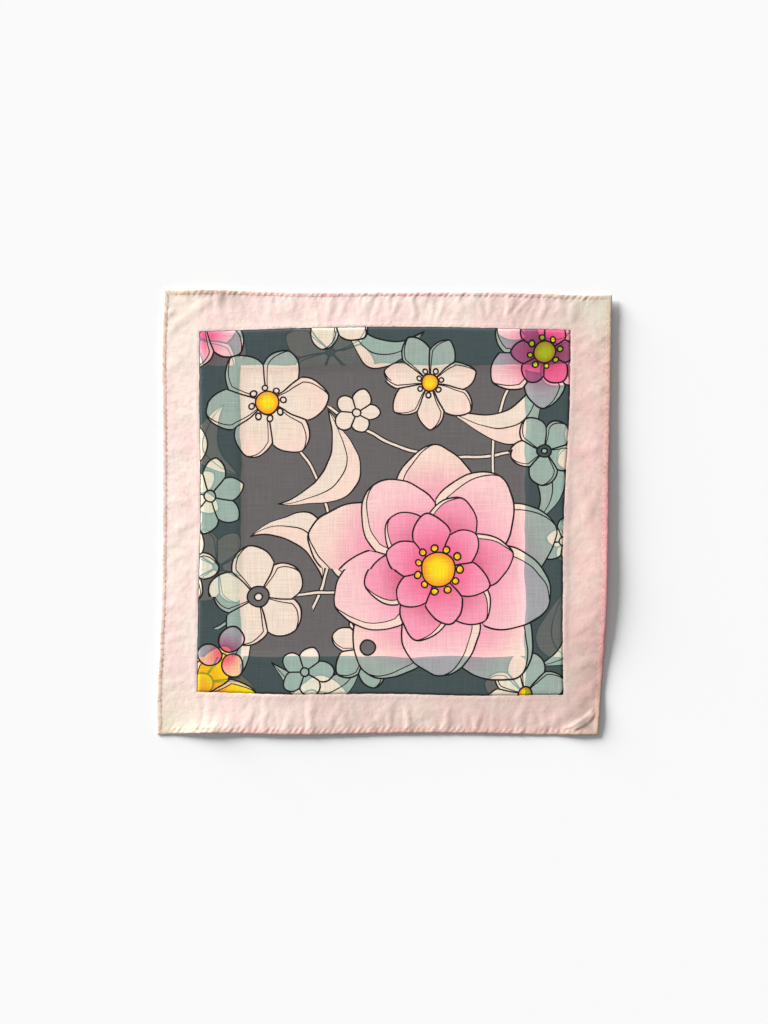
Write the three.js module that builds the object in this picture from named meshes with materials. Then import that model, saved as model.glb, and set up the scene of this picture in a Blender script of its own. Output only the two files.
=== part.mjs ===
// Pocket square: a printed centre panel of sheer cotton, its margin turned under,
// framed by a wide plain band of doubled cotton whose outer edges are turned in and topstitched.
// It lies flat, face up. Millimetres, +Z up, +Y towards the top edge, and the origin on the
// surface below the middle of the square.
import * as THREE from "three";

// Each corner of the square: where the band's outer edge turns, and where its inner seam turns.
const corners = [
  { name: "top left", edgeX: -162.1, edgeY: 164.2, seamX: -136.0, seamY: 133.0 },
  { name: "top right", edgeX: 167.9, edgeY: 160.0, seamX: 137.8, seamY: 134.1 },
  { name: "bottom right", edgeX: 157.7, edgeY: -164.3, seamX: 132.3, seamY: -134.9 },
  { name: "bottom left", edgeX: -167.6, edgeY: -164.3, seamX: -137.8, seamY: -132.7 },
];
const TOP = 0;
const RIGHT = 1;
const BOTTOM = 2;
const LEFT = 3;

// How far each side bows out (or in, below zero) from the straight line between its corners,
// at a share of the way along. The sides run clockwise: top, right, bottom, left.
const edgeBows = [
  { side: TOP, along: 0.12, out: 0.6 },
  { side: TOP, along: 0.3, out: -0.7 },
  { side: TOP, along: 0.53, out: 0.7 },
  { side: TOP, along: 0.77, out: 1.4 },
  { side: TOP, along: 0.93, out: 0.1 },
  { side: RIGHT, along: 0.2, out: 1.2 },
  { side: RIGHT, along: 0.45, out: 2.1 },
  { side: RIGHT, along: 0.7, out: 3.4 },
  { side: RIGHT, along: 0.88, out: 1.8 },
  { side: BOTTOM, along: 0.13, out: 0.0 },
  { side: BOTTOM, along: 0.35, out: -1.4 },
  { side: BOTTOM, along: 0.68, out: 0.0 },
  { side: BOTTOM, along: 0.89, out: -1.4 },
  { side: LEFT, along: 0.08, out: 0.7 },
  { side: LEFT, along: 0.32, out: -1.3 },
  { side: LEFT, along: 0.64, out: -0.3 },
  { side: LEFT, along: 0.87, out: 1.4 },
];
const seamBows = [
  { side: TOP, along: 0.3, out: 2.4 },
  { side: TOP, along: 0.55, out: 3.0 },
  { side: TOP, along: 0.85, out: 1.3 },
  { side: RIGHT, along: 0.22, out: 0.3 },
  { side: RIGHT, along: 0.5, out: -2.2 },
  { side: RIGHT, along: 0.78, out: -1.6 },
  { side: BOTTOM, along: 0.25, out: 1.2 },
  { side: BOTTOM, along: 0.47, out: 0.3 },
  { side: BOTTOM, along: 0.75, out: 1.3 },
  { side: LEFT, along: 0.25, out: -0.4 },
  { side: LEFT, along: 0.5, out: -1.5 },
  { side: LEFT, along: 0.8, out: -0.3 },
];

// The band is two layers of cotton, thickest at its topstitched hem and where its inner edge is
// turned in. Its section, from the outer edge in to the seam: how far in, the height of the
// upper face, and the height of the underside where that has a point of its own.
const bandWidth = 29;
const bandThickness = 1.5;
const hemWidth = 3.7;
const hemThickness = 1.95;
const turnedEdgeThickness = 2.0;
const bandSection = [
  { inward: 0, top: 0.9, under: null },
  { inward: 0.5, top: 1.65, under: 0.2 },
  { inward: 1.9, top: hemThickness, under: 0 },
  { inward: hemWidth, top: 1.35, under: null },
  { inward: 5.4, top: bandThickness, under: 0 },
  { inward: 9, top: bandThickness, under: null },
  { inward: 13, top: bandThickness, under: 0 },
  { inward: 17, top: bandThickness, under: null },
  { inward: 21, top: bandThickness, under: 0 },
  { inward: 25.3, top: bandThickness, under: null },
  { inward: 27.3, top: turnedEdgeThickness, under: 0 },
  { inward: 28.6, top: 1.8, under: 0.2 },
  { inward: bandWidth, top: 1.0, under: null },
];

// The panel is one layer, and two where its margin is folded under and pressed flat. Its section,
// from the fold in to the flat middle: how far in, and the heights of its faces.
const seamGap = 0.35;
const panelThickness = 1.0;
const marginWidth = 29.5;
const marginThickness = 2.0;
const middleInset = 37;
const panelSection = [
  { inward: 0, top: 1.0, under: null },
  { inward: 0.4, top: 1.7, under: 0.3 },
  { inward: 1.4, top: marginThickness, under: 0 },
  { inward: 15, top: marginThickness, under: null },
  { inward: marginWidth, top: marginThickness, under: null },
  { inward: 32, top: 1.35, under: null },
  { inward: middleInset, top: panelThickness, under: 0 },
];

// Puckers and creases of the band. Each starts at a distance along its side, leans by the time it
// would reach the seam, and lies between two shares of the band's width. The ones that lean most
// lie across a corner, half on each of its sides.
const puckers = [
  { side: TOP, at: 71, lean: -111, halfWidth: 16, height: 0.8, from: 0.24, to: 0.74 },
  { side: TOP, at: 44, lean: -9, halfWidth: 3.6, height: 0.6, from: 0.0, to: 0.7 },
  { side: TOP, at: 78, lean: 2, halfWidth: 3.0, height: 0.6, from: 0.0, to: 0.8 },
  { side: TOP, at: 120, lean: 3, halfWidth: 2.6, height: 0.6, from: 0.1, to: 1.0 },
  { side: TOP, at: 152, lean: -4, halfWidth: 3.0, height: 0.7, from: 0.0, to: 0.8 },
  { side: TOP, at: 183, lean: 4, halfWidth: 2.6, height: 0.9, from: 0.0, to: 1.0 },
  { side: TOP, at: 219, lean: -3, halfWidth: 3.0, height: 0.7, from: 0.0, to: 0.9 },
  { side: TOP, at: 255, lean: 3, halfWidth: 3.0, height: 1.2, from: 0.0, to: 0.95 },
  { side: TOP, at: 281, lean: 1, halfWidth: 2.6, height: 0.7, from: 0.0, to: 0.8 },
  { side: TOP, at: 301, lean: 7, halfWidth: 4.0, height: 1.1, from: 0.1, to: 1.0 },
  { side: RIGHT, at: 66, lean: 12, halfWidth: 5.0, height: 0.6, from: 0.1, to: 0.9 },
  { side: RIGHT, at: 110, lean: 10, halfWidth: 5.0, height: 0.6, from: 0.2, to: 0.9 },
  { side: RIGHT, at: 232, lean: 22, halfWidth: 4.5, height: 0.6, from: 0.1, to: 0.9 },
  { side: RIGHT, at: 268, lean: 12, halfWidth: 4.0, height: 0.6, from: 0.0, to: 0.8 },
  { side: RIGHT, at: 288.3, lean: 91, halfWidth: 13, height: 1.4, from: 0.1, to: 0.5 },
  { side: BOTTOM, at: 36.5, lean: -91, halfWidth: 13, height: 1.4, from: 0.1, to: 0.5 },
  { side: BOTTOM, at: 88, lean: 3, halfWidth: 3.0, height: 0.8, from: 0.0, to: 0.7 },
  { side: BOTTOM, at: 113, lean: -3, halfWidth: 2.6, height: 0.8, from: 0.0, to: 0.8 },
  { side: BOTTOM, at: 140, lean: 1, halfWidth: 3.0, height: 1.3, from: 0.0, to: 0.8 },
  { side: BOTTOM, at: 153, lean: 2, halfWidth: 2.6, height: 0.9, from: 0.0, to: 0.9 },
  { side: BOTTOM, at: 211, lean: 2, halfWidth: 3.2, height: 1.4, from: 0.0, to: 1.0 },
  { side: BOTTOM, at: 230, lean: -6, halfWidth: 2.8, height: 0.9, from: 0.0, to: 0.7 },
  { side: BOTTOM, at: 245, lean: 5, halfWidth: 3.0, height: 1.0, from: 0.0, to: 1.0 },
  { side: LEFT, at: 40, lean: -8, halfWidth: 4.0, height: 0.5, from: 0.2, to: 1.0 },
  { side: LEFT, at: 148, lean: 12, halfWidth: 4.0, height: 0.6, from: 0.3, to: 0.95 },
  { side: LEFT, at: 243, lean: -10, halfWidth: 3.5, height: 0.6, from: 0.1, to: 0.9 },
  { side: LEFT, at: 288.8, lean: 62, halfWidth: 11, height: 0.8, from: 0.1, to: 0.74 },
];
const puckerRise = 6;
const puckerFade = 3;

// Stretches of the outer edge that have curled off the surface, tallest at the edge itself.
const curls = [
  { side: TOP, at: 34, halfLength: 26, height: 1.6 },
  { side: BOTTOM, at: 290, halfLength: 30, height: 2.0 },
  { side: BOTTOM, at: 12, halfLength: 22, height: 1.4 },
  { side: RIGHT, at: 312.8, halfLength: 22, height: 1.4 },
];
const curlReach = 0.55;

// Stretches where the whole width of the band rises from the seam to the outer edge: most of the
// right side, its top corner with the end of the top side, and the left half of the bottom side.
const swells = [
  { side: TOP, at: 330, halfLength: 34, height: 1.9 },
  { side: RIGHT, at: 0, halfLength: 120, height: 1.9 },
  { side: RIGHT, at: 165, halfLength: 160, height: 2.8 },
  { side: RIGHT, at: 222, halfLength: 60, height: 1.2 },
  { side: BOTTOM, at: 232, halfLength: 88, height: 1.2 },
];

// How many even steps the band takes along each side, and the panel. The band takes more at a
// pucker, but none closer together than the least step, and none of them closer to a corner.
const bandSteps = [30, 26, 30, 26];
const panelSteps = 20;
const leastStep = 1.9;
const puckerStep = 0.7;

// The line of one side through its corners and bows. Key is "edge" or "seam".
function sideCurve(side, key, bows) {
  const here = corners[side];
  const next = corners[(side + 1) % corners.length];
  const start = new THREE.Vector3(here[key + "X"], here[key + "Y"], 0);
  const end = new THREE.Vector3(next[key + "X"], next[key + "Y"], 0);
  const outward = new THREE.Vector3(start.y - end.y, end.x - start.x, 0).normalize();
  const between = bows
    .filter((bow) => bow.side === side)
    .map((bow) => start.clone().lerp(end, bow.along).addScaledVector(outward, bow.out));
  return new THREE.CatmullRomCurve3([start, ...between, end]);
}

const edgeCurves = corners.map((corner, side) => sideCurve(side, "edge", edgeBows));
const seamCurves = corners.map((corner, side) => sideCurve(side, "seam", seamBows));
const edgeLengths = edgeCurves.map((curve) => curve.getLength());

// One at the middle, falling smoothly to nothing at the half width and beyond.
function swell(distance, halfWidth) {
  return Math.max(0, 1 - (distance / halfWidth) ** 2) ** 2;
}

// How far the band stands off the surface, at a distance along a side and a share of its width.
function bandLift(side, distance, share) {
  let lift = 0;
  for (const pucker of puckers) {
    if (pucker.side !== side) continue;
    const reach = (share - pucker.from) / (pucker.to - pucker.from);
    if (reach < 0 || reach > 1) continue;
    const ends = Math.min(1, puckerRise * reach, puckerFade * (1 - reach));
    const off = distance - pucker.at - pucker.lean * share;
    lift += pucker.height * ends * swell(off, pucker.halfWidth);
  }
  for (const curl of curls) {
    if (curl.side !== side || share > curlReach) continue;
    const rise = (1 - share / curlReach) ** 2;
    lift += curl.height * rise * swell(distance - curl.at, curl.halfLength);
  }
  for (const { side: where, at, halfLength, height } of swells) {
    if (where !== side) continue;
    lift += height * (1 - share) ** 2 * (1 + 2 * share) * swell(distance - at, halfLength);
  }
  return lift;
}

// Distances along a side at which the band has a section.
function stations(side) {
  const length = edgeLengths[side];
  const wanted = [];
  for (let i = 0; i < bandSteps[side]; i++) wanted.push((i * length) / bandSteps[side]);
  for (const { side: where, at, lean, halfWidth, from, to } of puckers) {
    if (where !== side) continue;
    const first = at + Math.min(lean * from, lean * to) - halfWidth;
    const last = at + Math.max(lean * from, lean * to) + halfWidth;
    const count = Math.ceil((last - first) / (puckerStep * halfWidth));
    for (let i = 0; i <= count; i++) wanted.push(first + ((last - first) * i) / count);
  }
  const kept = [0];
  for (const distance of wanted.sort((a, b) => a - b)) {
    const clearOfLast = distance - kept[kept.length - 1] >= leastStep;
    if (clearOfLast && length - distance >= leastStep) kept.push(distance);
  }
  return kept;
}

// A closed body from its points and triangles.
function body(points, triangles) {
  const geometry = new THREE.BufferGeometry();
  geometry.setAttribute("position", new THREE.Float32BufferAttribute(points.flat(), 3));
  geometry.setIndex(triangles.flat());
  geometry.computeVertexNormals();
  return geometry;
}

// The points of a section in the order they are joined: the upper face in from the outer edge,
// then the underside back out. A closed section's two ends have no underside of their own.
function sectionLoop(section) {
  const upper = section.map(({ inward, top }) => ({ inward, height: top }));
  const lower = section
    .filter(({ under }) => under !== null)
    .reverse()
    .map(({ inward, under }) => ({ inward, height: under }));
  return [...upper, ...lower];
}

// Triangles that join each section to the next, and the last to the first. A closed section also
// joins its own last point to its first; an open one leaves that strip out.
function joinSections(count, size, openAfter) {
  const triangles = [];
  for (let i = 0; i < count; i++) {
    const here = i * size;
    const next = ((i + 1) % count) * size;
    for (let j = 0; j < size; j++) {
      if (j === openAfter) continue;
      const k = (j + 1) % size;
      triangles.push([here + j, next + k, next + j], [here + j, here + k, next + k]);
    }
  }
  return triangles;
}

// The band: its section carried round the square, mitred at the corners and raised at the puckers.
function bandGeometry() {
  const loop = sectionLoop(bandSection);
  const points = [];
  let count = 0;
  corners.forEach((corner, side) => {
    for (const distance of stations(side)) {
      const along = distance / edgeLengths[side];
      const edge = edgeCurves[side].getPointAt(along);
      const seam = seamCurves[side].getPointAt(along);
      for (const { inward, height } of loop) {
        const share = inward / bandWidth;
        const place = edge.clone().lerp(seam, share);
        points.push([place.x, place.y, height + bandLift(side, distance, share)]);
      }
      count++;
    }
  });
  return body(points, joinSections(count, loop.length, null));
}

// A corner of the seam, moved in by the same distance from both of its sides.
function seamCorner(index, inward) {
  const { seamX, seamY } = corners[index];
  return new THREE.Vector3(seamX - Math.sign(seamX) * inward, seamY - Math.sign(seamY) * inward, 0);
}

// A place on a line that follows the seam a distance in from it, straighter the further in it is.
function panelPlace(side, along, inward) {
  const next = (side + 1) % corners.length;
  const chord = seamCorner(side, 0).lerp(seamCorner(next, 0), along);
  const bow = seamCurves[side].getPointAt(along).sub(chord);
  const line = seamCorner(side, seamGap + inward).lerp(seamCorner(next, seamGap + inward), along);
  return line.addScaledVector(bow, 1 - inward / middleInset);
}

// The panel: its section carried round inside the seam, and the flat middle closed above and below.
function panelGeometry() {
  const loop = sectionLoop(panelSection);
  const innerTop = panelSection.length - 1;
  const innerUnder = panelSection.length;
  const points = [];
  corners.forEach((corner, side) => {
    for (let i = 0; i < panelSteps; i++) {
      for (const { inward, height } of loop) {
        const place = panelPlace(side, i / panelSteps, inward);
        points.push([place.x, place.y, height]);
      }
    }
  });
  const count = corners.length * panelSteps;
  const triangles = joinSections(count, loop.length, innerTop);
  const middleTop = points.push([0, 0, panelThickness]) - 1;
  const middleUnder = points.push([0, 0, 0]) - 1;
  for (let i = 0; i < count; i++) {
    const here = i * loop.length;
    const next = ((i + 1) % count) * loop.length;
    triangles.push([here + innerTop, middleTop, next + innerTop]);
    triangles.push([here + innerUnder, next + innerUnder, middleUnder]);
  }
  return body(points, triangles);
}

const pinkCotton = new THREE.MeshStandardMaterial({ color: 0xf0d2ca, roughness: 0.85, metalness: 0 });
const printedVoile = new THREE.MeshStandardMaterial({ color: 0x6a6766, roughness: 0.8, metalness: 0 });

const pocketSquare = new THREE.Group();
const parts = [
  { name: "border_band", geometry: bandGeometry(), material: pinkCotton },
  { name: "print_panel", geometry: panelGeometry(), material: printedVoile },
];
for (const { name, geometry, material } of parts) {
  const mesh = new THREE.Mesh(geometry, material);
  mesh.name = name;
  pocketSquare.add(mesh);
}

export default pocketSquare;
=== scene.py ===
import math

import bmesh
import bpy
from mathutils import Matrix, Vector, noise


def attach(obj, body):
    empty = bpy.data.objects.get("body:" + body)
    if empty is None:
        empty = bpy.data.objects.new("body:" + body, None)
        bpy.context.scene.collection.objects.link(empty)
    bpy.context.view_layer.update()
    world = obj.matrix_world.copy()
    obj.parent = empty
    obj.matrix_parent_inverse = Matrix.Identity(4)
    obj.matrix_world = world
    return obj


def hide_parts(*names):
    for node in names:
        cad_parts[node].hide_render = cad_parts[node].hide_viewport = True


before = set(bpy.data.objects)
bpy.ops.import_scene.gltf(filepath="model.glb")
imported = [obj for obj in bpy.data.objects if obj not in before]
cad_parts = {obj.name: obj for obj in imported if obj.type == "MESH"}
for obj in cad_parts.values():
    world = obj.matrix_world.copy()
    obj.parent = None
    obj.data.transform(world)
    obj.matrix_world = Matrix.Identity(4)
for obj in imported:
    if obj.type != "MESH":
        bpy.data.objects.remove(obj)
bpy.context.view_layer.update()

# Border band.
# A frame of doubled pale pink cotton, one piece with a window cut in it. Its outer edges are
# turned in and topstitched as a narrow hem, and its inner edges are turned in at the seam, so
# both edges are thicker. The stitching has drawn it into puckers, and the corners have yellowed.
MM = 0.001
TOP, RIGHT, BOTTOM, LEFT = range(4)

# The corners clockwise from the top left, each the start of the side of its number: outer edge x
# and y, seam x and y, in millimetres.
corners = [
    (-162.1, 164.2, -136.0, 133.0),
    (167.9, 160.0, 137.8, 134.1),
    (157.7, -164.3, 132.3, -134.9),
    (-167.6, -164.3, -137.8, -132.7),
]

# How far each side bows out between its corners: share of the way along, millimetres out.
edge_bows = {
    TOP: [(0.12, 0.6), (0.3, -0.7), (0.53, 0.7), (0.77, 1.4), (0.93, 0.1)],
    RIGHT: [(0.2, 1.2), (0.45, 2.1), (0.7, 3.4), (0.88, 1.8)],
    BOTTOM: [(0.13, 0.0), (0.35, -1.4), (0.68, 0.0), (0.89, -1.4)],
    LEFT: [(0.08, 0.7), (0.32, -1.3), (0.64, -0.3), (0.87, 1.4)],
}
seam_bows = {
    TOP: [(0.3, 2.4), (0.55, 3.0), (0.85, 1.3)],
    RIGHT: [(0.22, 0.3), (0.5, -2.2), (0.78, -1.6)],
    BOTTOM: [(0.25, 1.2), (0.47, 0.3), (0.75, 1.3)],
    LEFT: [(0.25, -0.4), (0.5, -1.5), (0.8, -0.3)],
}

# How far a hand-sewn edge wanders, how often in a side, and how fast that grows from a corner.
edge_wander = 0.3
wanders_a_side = 66
wander_growth = 40


def smooth_row(rows, share):
    """The second column of a table at a place in its first, smooth through every row."""
    last = len(rows) - 1
    number = 0
    while number < last - 1 and share > rows[number + 1][0]:
        number += 1
    here, there = rows[number], rows[number + 1]
    before, after = rows[max(number - 1, 0)], rows[min(number + 2, last)]
    run = there[0] - here[0]
    step = min(max((share - here[0]) / run, 0.0), 1.0)
    leave = (there[1] - before[1]) / (there[0] - before[0]) * run
    arrive = (after[1] - here[1]) / (after[0] - here[0]) * run
    square, cube = step * step, step * step * step
    return (
        (2 * cube - 3 * square + 1) * here[1]
        + (cube - 2 * square + step) * leave
        + (3 * square - 2 * cube) * there[1]
        + (cube - square) * arrive
    )


def side_point(side, share, column, bows):
    """A point on a side's outer edge (column 0) or on its seam (column 2)."""
    here, there = corners[side], corners[(side + 1) % 4]
    start = Vector(here[column:column + 2])
    end = Vector(there[column:column + 2])
    along = end - start
    outward = Vector((-along.y, along.x)).normalized()
    bow = smooth_row([(0.0, 0.0)] + bows[side] + [(1.0, 0.0)], share)
    uneven = noise.noise(Vector((share * wanders_a_side, side * 3.3, column + 0.7)))
    bow += edge_wander * uneven * min(1.0, wander_growth * share, wander_growth * (1 - share))
    return start.lerp(end, share) + outward * bow


side_lengths = [
    (Vector(corners[(side + 1) % 4][0:2]) - Vector(corners[side][0:2])).length for side in range(4)
]

# The band's section: millimetres in from the outer edge, height of the upper face.
band_width = 29.0
hem_width = 3.5
band_profile = [
    (0.0, 0.5), (0.3, 0.82), (0.9, 1.0), (1.9, 1.06), (2.8, 1.03), (hem_width, 0.96),
    (4.3, 0.92), (6.0, 0.9), (24.5, 0.86), (26.6, 0.9), (27.8, 0.88), (28.6, 0.85), (29.0, 0.8),
]
# The underside's rows, from the seam out, and how high the first and last of them lie.
under_rows = [28.7, 27.0, 22.0, 16.0, 10.0, 5.0, 2.0, 0.4]
under_edge_height = 0.2
thinnest = 0.3
# Where the relief of the upper face fades out, in from either edge.
edge_ease = 1.2
hem_row_spacing = 0.45
field_row_spacing = 0.85
column_spacing = 0.95

# Puckers and creases: distance along the side, measured on the outer edge, lean by the time it
# would reach the seam, half width, height, and the two shares of the width that it lies between.
puckers = {
    TOP: [
        (44, -9, 5.6, 0.2, 0, 0.7), (78, 2, 4.7, 0.2, 0, 0.8),
        (97, -3, 3.8, 0.14, 0, 0.6), (110, 5, 3.4, 0.12, 0.2, 1), (120, 3, 4, 0.2, 0.1, 1),
        (134, -3, 3.8, 0.15, 0, 0.9), (143, 6, 3.1, 0.14, 0.1, 0.8), (152, -4, 4.7, 0.23, 0, 0.8),
        (163, 4, 3.8, 0.15, 0, 0.9), (173, -5, 3.4, 0.15, 0.2, 1), (183, 4, 4, 0.3, 0, 1),
        (196, 3, 3.4, 0.15, 0, 1), (207, -4, 3.8, 0.17, 0.1, 0.9), (219, -3, 4.7, 0.23, 0, 0.9),
        (232, 5, 3.8, 0.15, 0.2, 1), (243, -4, 3.8, 0.17, 0, 0.8), (255, 3, 4.7, 0.4, 0, 0.95),
        (268, -6, 3.8, 0.17, 0.1, 1), (281, 1, 4, 0.23, 0, 0.8), (292, -3, 3.4, 0.14, 0, 0.6),
        (301, 7, 6.2, 0.37, 0.1, 1),
    ],
    RIGHT: [
        (28, 16, 6.2, 0.14, 0.1, 0.9), (48, -10, 5.3, 0.14, 0.3, 1), (66, 12, 7.8, 0.2, 0.1, 0.9),
        (88, -14, 5.6, 0.14, 0.1, 0.8), (110, 10, 7.8, 0.2, 0.2, 0.9), (140, 40, 11.7, 0.24, 0.2, 0.8),
        (186, -60, 15.6, 0.24, 0.3, 0.8), (232, 22, 7, 0.2, 0.1, 0.9), (250, -14, 5.3, 0.14, 0.2, 0.9),
        (268, 12, 6.2, 0.2, 0, 0.8), (278, -12, 4.7, 0.14, 0.1, 0.7),
    ],
    BOTTOM: [
        (46, 6, 4.7, 0.14, 0, 0.7), (62, -8, 4.7, 0.14, 0.2, 1),
        (88, 3, 4.7, 0.27, 0, 0.7), (100, -6, 3.8, 0.14, 0.1, 0.9), (113, -3, 4, 0.27, 0, 0.8),
        (127, 8, 4, 0.17, 0.3, 1), (140, 1, 4.7, 0.44, 0, 0.8), (153, 2, 4, 0.3, 0, 0.9),
        (168, -16, 6.2, 0.2, 0.2, 0.95), (184, 12, 5.6, 0.17, 0, 0.8), (198, -4, 3.8, 0.17, 0, 0.7),
        (211, 2, 4.9, 0.47, 0, 1), (230, -6, 4.4, 0.3, 0, 0.7), (245, 5, 4.7, 0.34, 0, 1),
        (262, -8, 4.7, 0.17, 0.1, 0.8), (284, 6, 5.3, 0.14, 0.2, 1),
    ],
    LEFT: [
        (40, -8, 6.2, 0.17, 0.2, 1), (66, 10, 5.3, 0.12, 0.1, 0.8), (98, -8, 5.6, 0.12, 0.2, 0.9),
        (124, 10, 4.9, 0.12, 0.1, 0.8), (148, 12, 6.2, 0.2, 0.3, 0.95), (176, -8, 4.9, 0.12, 0.2, 0.9),
        (208, 8, 5.3, 0.14, 0.1, 0.9), (243, -10, 5.5, 0.2, 0.1, 0.9), (266, 26, 7.8, 0.14, 0.1, 0.8),
        (311, 14, 4, 0.3, 0.1, 0.5),
    ],
}

# Folds that cross a corner, each with its mate on the next side. Their distance is measured
# parallel to the corner's own line, so that a fold and its mate meet there.
corner_folds = {
    TOP: [(46.3, -70.2, 10, 0.26, 0.12, 0.9)],
    RIGHT: [
        (302.8, 53.8, 3.8, 0.7, 0.14, 0.56), (304.7, 61.2, 3.5, 0.6, 0.1, 0.46),
        (286, 50, 10, 0.3, 0.1, 0.8),
    ],
    BOTTOM: [
        (30, -74.4, 5.2, 0.7, 0.14, 0.56), (24.9, -77, 4.4, 0.6, 0.1, 0.46),
        (46, -60, 12, 0.3, 0.1, 0.8),
    ],
    LEFT: [(293.4, 53.2, 7.6, 0.26, 0.12, 0.9)],
}

# Stretches of the outer edge that have curled up: middle, half length, height at the edge.
curls = {
    TOP: [(34, 26, 1.6)],
    RIGHT: [(312.5, 22, 1.4)],
    BOTTOM: [(290, 30, 2.0), (12, 22, 1.4)],
    LEFT: [],
}
# The share of the band's width that a curled edge reaches in.
curl_reach = 0.55
# Stretches where the whole width of the band rises from the seam out to the edge.
rises = {
    TOP: [],
    RIGHT: [(-10, 130, 2.4), (165, 160, 3.5), (222, 60, 1.2)],
    BOTTOM: [(232, 88, 1.3), (120, 100, 0.5)],
    LEFT: [],
}
# How far along a side the line across its corner runs, and how near it the side's relief fades.
corner_run = 26.0
corner_calm = 14
# How far a crease strays from a straight line.
crease_bend = 3.2
# The pleats that the thread draws in: how far apart, how high, how far in, and their strength on
# the left and right sides and at the seam.
stitch_pitch = 4.3
pleat_height = 0.15
pleat_middle = 2.9
side_draw = 0.45
seam_draw = 0.25
# The puffs and the small creases inside them: height, and how far in they fade.
puff_height = 0.56
puff_fade = 17
small_crease_height = 0.14
small_crease_fade = 8
# The unevenness of the whole cloth, broad and fine.
broad_crumple = 0.22
fine_crumple = 0.05


def swell(distance, half_width):
    """One at the middle, falling smoothly to nothing at the half width and beyond."""
    return max(0.0, 1.0 - (distance / half_width) ** 2) ** 2


def from_corner_share(side, distance):
    """Nothing at a corner, one from a little way on, so that the sides' reliefs meet there."""
    near = min(distance, side_lengths[side] - distance) / corner_calm
    near = min(max(near, 0.0), 1.0)
    return near * near * (3 - 2 * near)


def upright_distance(side, distance, share):
    """The distance along the side of the spot on the edge straight out from a point."""
    return distance + corner_run * share * (1 - 2 * distance / side_lengths[side])


def band_lift(side, distance, share):
    """How far the band stands off the surface, by its puckers, creases and curled edges."""
    lift = 0.0
    bend = crease_bend * noise.noise(Vector((distance / 17, share * 2.6, side * 5.0 + 0.3)))
    inside = from_corner_share(side, distance)
    upright = upright_distance(side, distance, share) + bend
    for rows, spot, strength in ((puckers, upright, inside), (corner_folds, distance, 1.0)):
        for middle, lean, half_width, height, start, end in rows[side]:
            reach = (share - start) / (end - start)
            if 0.0 < reach < 1.0:
                ends = strength * min(1.0, 5 * reach, 2 * (1 - reach))
                lift += height * ends * swell(spot - middle - lean * share, half_width)
    for middle, half_length, height in curls[side]:
        if share < curl_reach:
            lift += height * (1 - share / curl_reach) ** 2 * swell(distance - middle, half_length)
    return lift


def rise(place):
    """How far the rising sides lift a place, straight on through the corners that they end in."""
    lift = 0.0
    for side, rows in rises.items():
        start = Vector(corners[side][0:2])
        along = (Vector(corners[(side + 1) % 4][0:2]) - start).normalized()
        distance = (place - start).dot(along)
        bow = smooth_row([(0.0, 0.0)] + edge_bows[side] + [(1.0, 0.0)], distance / side_lengths[side])
        inward = bow - (place - start).dot(Vector((-along.y, along.x)))
        share = min(max(inward / band_width, 0.0), 1.0)
        for middle, half_length, height in rows:
            lift += height * (1 - share) ** 2 * (1 + 2 * share) * swell(distance - middle, half_length)
    return lift


def hem_gathers(side, distance, inward):
    """The small pleats that the thread draws into the cloth, deepest along the top and bottom."""
    drawn_in = (1.0 if side in (TOP, BOTTOM) else side_draw) * from_corner_share(side, distance)
    along = upright_distance(side, distance, inward / band_width)
    beat = noise.noise(Vector((along / 9, side * 7.0, 3.0)))
    jitter = noise.noise(Vector((along / 7, side * 5.0, 9.0)))
    phase = 2 * math.pi * (along + 0.6 * (inward - hem_width)) / stitch_pitch + 2.4 * jitter
    near_hem = math.exp(-((inward - pleat_middle) / 2.6) ** 2)
    near_seam = seam_draw * math.exp(-((inward - 27.6) / 1.8) ** 2)
    pleats = pleat_height * max(0.1, 0.6 + beat) * math.cos(phase) * (near_hem + near_seam)
    # Soft puffs between creases that run in from the hem and fade.
    across = along + 0.7 * inward * noise.noise(Vector((along / 38, side * 3.0, 1.0)))
    puffs = abs(noise.noise(Vector((across / 9, inward / 21, side * 9.0 + 4.0))))
    small = noise.noise(Vector((across / 4.2, inward / 15, side * 9.0 + 7.0)))
    relief = pleats + puff_height * puffs * math.exp(-inward / puff_fade)
    relief += small_crease_height * small * math.exp(-inward / small_crease_fade)
    return drawn_in * relief


def crumple(x, y):
    """The soft unevenness of cotton that has been washed and pressed by hand."""
    broad = noise.noise(Vector((x / 21, y / 21, 0.4)))
    fine = noise.noise(Vector((x / 6.5, y / 6.5, 2.7)))
    return broad_crumple * broad + fine_crumple * fine


def band_place(side, share, inward):
    """Where a point of the band lies, seen from above, in millimetres."""
    edge = side_point(side, share, 0, edge_bows)
    seam = side_point(side, share, 2, seam_bows)
    return edge.lerp(seam, inward / band_width)


def band_top(side, share, inward):
    """A point on the band's upper face, in millimetres."""
    place = band_place(side, share, inward)
    distance = share * side_lengths[side]
    ease = min(1.0, inward / edge_ease, (band_width - inward) / edge_ease)
    height = smooth_row(band_profile, inward) + band_lift(side, distance, inward / band_width)
    height += rise(place)
    height += ease * (hem_gathers(side, distance, inward) + crumple(place.x, place.y))
    return Vector((place.x, place.y, max(height, thinnest)))


def band_under(side, share, inward):
    """A point on the band's underside, flat on the surface wherever the band isn't lifted."""
    place = band_place(side, share, inward)
    height = rise(place) + band_lift(side, share * side_lengths[side], inward / band_width)
    if inward in (under_rows[0], under_rows[-1]):
        height += under_edge_height
    return Vector((place.x, place.y, height))


def spaced(start, end, spacing):
    """Even steps from start up to, but not with, end."""
    count = max(1, round((end - start) / spacing))
    return [start + (end - start) * step / count for step in range(count)]


top_rows = [0.0, 0.15, 0.35] + spaced(0.6, 6.0, hem_row_spacing) + spaced(6.0, 25.0, field_row_spacing)
top_rows += spaced(25.0, 28.0, hem_row_spacing) + [28.0, 28.35, 28.6, 28.8, 28.93, band_width]
section = [(inward, band_top) for inward in top_rows] + [(inward, band_under) for inward in under_rows]

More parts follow.
